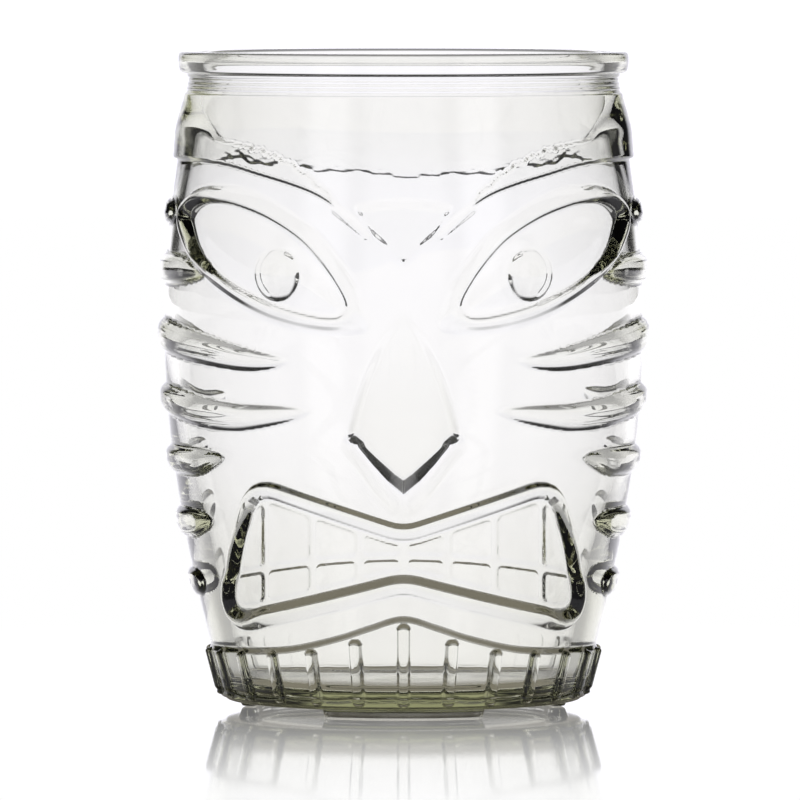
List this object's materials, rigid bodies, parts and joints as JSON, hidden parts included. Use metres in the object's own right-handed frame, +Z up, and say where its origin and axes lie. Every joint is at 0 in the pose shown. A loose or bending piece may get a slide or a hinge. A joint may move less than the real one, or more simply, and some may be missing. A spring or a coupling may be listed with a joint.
{
  "type": "tiki glass tumbler",
  "caption": "Barrel-shaped clear glass tumbler with a rim bead, a tiki face and side stripes moulded into the wall, and a ribbed foot.",
  "frame": {"origin": "middle of the foot, on the surface that the glass stands on", "axes": "+Z up along the axis of the glass, the face looks along -Y, +X is on the viewer's right when facing the glass"},
  "size_m": [0.0897, 0.0886, 0.1195],
  "materials": {
    "clear_glass": "clear pressed and blown glass, fire-polished, faint green-grey where thick"
  },
  "bodies": {
    "root": {"glass_tumbler": "clear_glass"}
  },
  "joints": []
}
